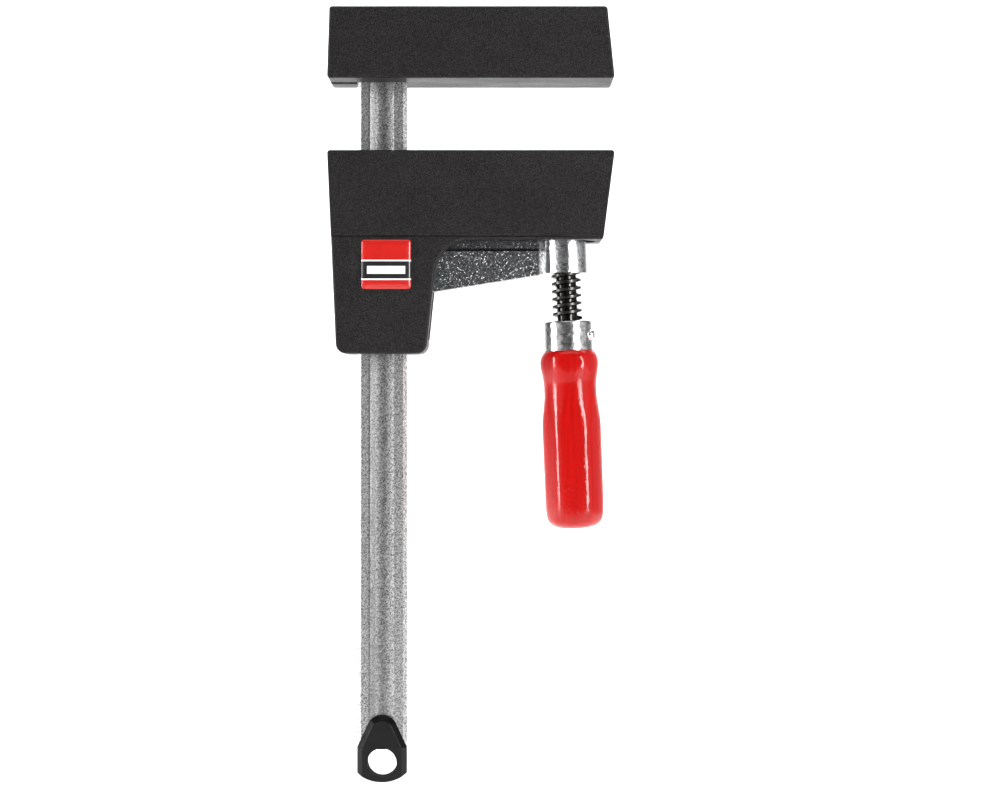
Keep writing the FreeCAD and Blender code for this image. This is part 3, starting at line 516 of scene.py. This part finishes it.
def make_badge():
    """Rounded square label under a resin dome."""
    half = (BADGE_BOX[1].x - BADGE_BOX[0].x) / 2
    depth = BADGE_BOX[1].y - BADGE_BOX[0].y
    rings = []
    for share, height in badge_profile():
        corner = BADGE_CORNER * share
        flat = half * share - corner
        ring = []
        for quarter in range(4):
            across = (1, -1, -1, 1)[quarter] * flat
            up = (1, 1, -1, -1)[quarter] * flat
            for k in range(BADGE_CORNER_STEPS + 1):
                angle = math.pi / 2 * (quarter + k / BADGE_CORNER_STEPS)
                x = BADGE_CENTRE.x + across + corner * math.cos(angle)
                z = BADGE_CENTRE.z + up + corner * math.sin(angle)
                ring.append((x, BADGE_BOX[1].y - depth * height, z))
        rings.append(ring)
    mesh = mesh_from_rings("badge_dome", rings)
    return add_piece("badge_dome", mesh, "jaw", BADGE_RESIN, ["badge"])


# ---------------------------------------------------------------- floor, light and camera

# all in metres; the gap lies between the floor and the clamp's lowest point
FLOOR_GAP = 0.03
FLOOR_FRONT = -1.6
FLOOR_HALF_WIDTH = 2.2
SWEEP_START = 1.3
SWEEP_RADIUS = 0.6
SWEEP_STEPS = 16
WALL_HEIGHT = 3.0


def make_studio():
    """A pale floor under the clamp that sweeps up into a wall behind it."""
    low = CAD_BOX[0][2] - FLOOR_GAP
    sweep = []
    for k in range(SWEEP_STEPS + 1):
        angle = math.pi / 2 * k / SWEEP_STEPS
        back = SWEEP_START + SWEEP_RADIUS * math.sin(angle)
        sweep.append((back, low + SWEEP_RADIUS * (1 - math.cos(angle))))
    profile = [(FLOOR_FRONT, low)] + sweep + [(SWEEP_START + SWEEP_RADIUS, low + WALL_HEIGHT)]
    mesh = bpy.data.meshes.new("floor")
    points = [(x, y, z) for y, z in profile for x in (-FLOOR_HALF_WIDTH, FLOOR_HALF_WIDTH)]
    faces = [(2 * k, 2 * k + 1, 2 * k + 3, 2 * k + 2) for k in range(len(profile) - 1)]
    mesh.from_pydata(points, [], faces)
    for face in mesh.polygons:
        face.use_smooth = True
    floor = bpy.data.objects.new("floor", mesh)
    bpy.context.scene.collection.objects.link(floor)
    finish = Finish("floor_paper", 0.9, specular=0.1)
    finish.paint(finish.blend(finish.noise(0.4), (0.93, 0.93, 0.93), (0.95, 0.95, 0.95)))
    mesh.materials.append(finish.material)


def add_softbox(name, place, aim, width, height, watts):
    light = bpy.data.lights.new(name, "AREA")
    light.shape = "RECTANGLE"
    light.size = width
    light.size_y = height
    light.energy = watts
    lamp = bpy.data.objects.new(name, light)
    lamp.location = place
    lamp.rotation_euler = (Vector(aim) - Vector(place)).to_track_quat("-Z", "Y").to_euler()
    bpy.context.scene.collection.objects.link(lamp)
    return lamp


def light_scene():
    """Tall soft lights and a brighter strip at each side, one light above and one for the wall."""
    middle = (0, 0, -0.12)
    level = -0.05
    for side, name in ((-1, "left"), (1, "right")):
        add_softbox(f"{name}_softbox", (side * 1.18, -0.92, level), middle, width=1.05, height=1.5, watts=2.2)
        add_softbox(f"{name}_side_fill", (side * 1.48, -0.30, level), middle, width=0.7, height=1.3, watts=0.8)
    add_softbox("left_hot_core", (-1.30, -0.35, level), middle, width=0.34, height=1.2, watts=24)
    add_softbox("right_hot_core", (0.88, -1.02, level), middle, width=0.34, height=1.2, watts=22)
    add_softbox("top_softbox", (0, -0.62, 1.25), middle, width=1.3, height=0.7, watts=3)
    add_softbox("backdrop_light", (0, 0.4, 1.3), (0, 1.8, 0.1), width=1.8, height=0.8, watts=60)
    light_room()


def light_room():
    """A faint room: darkest on the camera's side, lighter to the sides and behind."""
    world = bpy.data.worlds.new("studio")
    world.use_nodes = True
    tree = world.node_tree
    place = tree.nodes.new("ShaderNodeTexCoord")
    split = tree.nodes.new("ShaderNodeSeparateXYZ")
    tree.links.new(place.outputs["Generated"], split.inputs["Vector"])
    depth = tree.nodes.new("ShaderNodeMapRange")
    depth.inputs["From Min"].default_value = -0.85
    depth.inputs["From Max"].default_value = -0.1
    depth.inputs["To Min"].default_value = 0.07
    depth.inputs["To Max"].default_value = 0.22
    tree.links.new(split.outputs["Y"], depth.inputs["Value"])
    background = tree.nodes["Background"]
    background.inputs["Color"].default_value = (1, 1, 1, 1)
    tree.links.new(depth.outputs["Result"], background.inputs["Strength"])
    bpy.context.scene.world = world


def add_camera():
    lens = bpy.data.cameras.new("camera")
    lens.sensor_width = 36
    lens.lens = 88.35
    lens.clip_end = 50
    camera = bpy.data.objects.new("camera", lens)
    camera.location = (-4.0 * MM, -970 * MM, -122.9 * MM)
    camera.rotation_euler = (math.pi / 2, 0, 0)
    bpy.context.scene.collection.objects.link(camera)
    bpy.context.scene.camera = camera


# ---------------------------------------------------------------- making

dress_cad_nodes()
make_handle()
make_badge()
make_studio()
light_scene()
add_camera()
bpy.context.scene.view_settings.view_transform = "Standard"
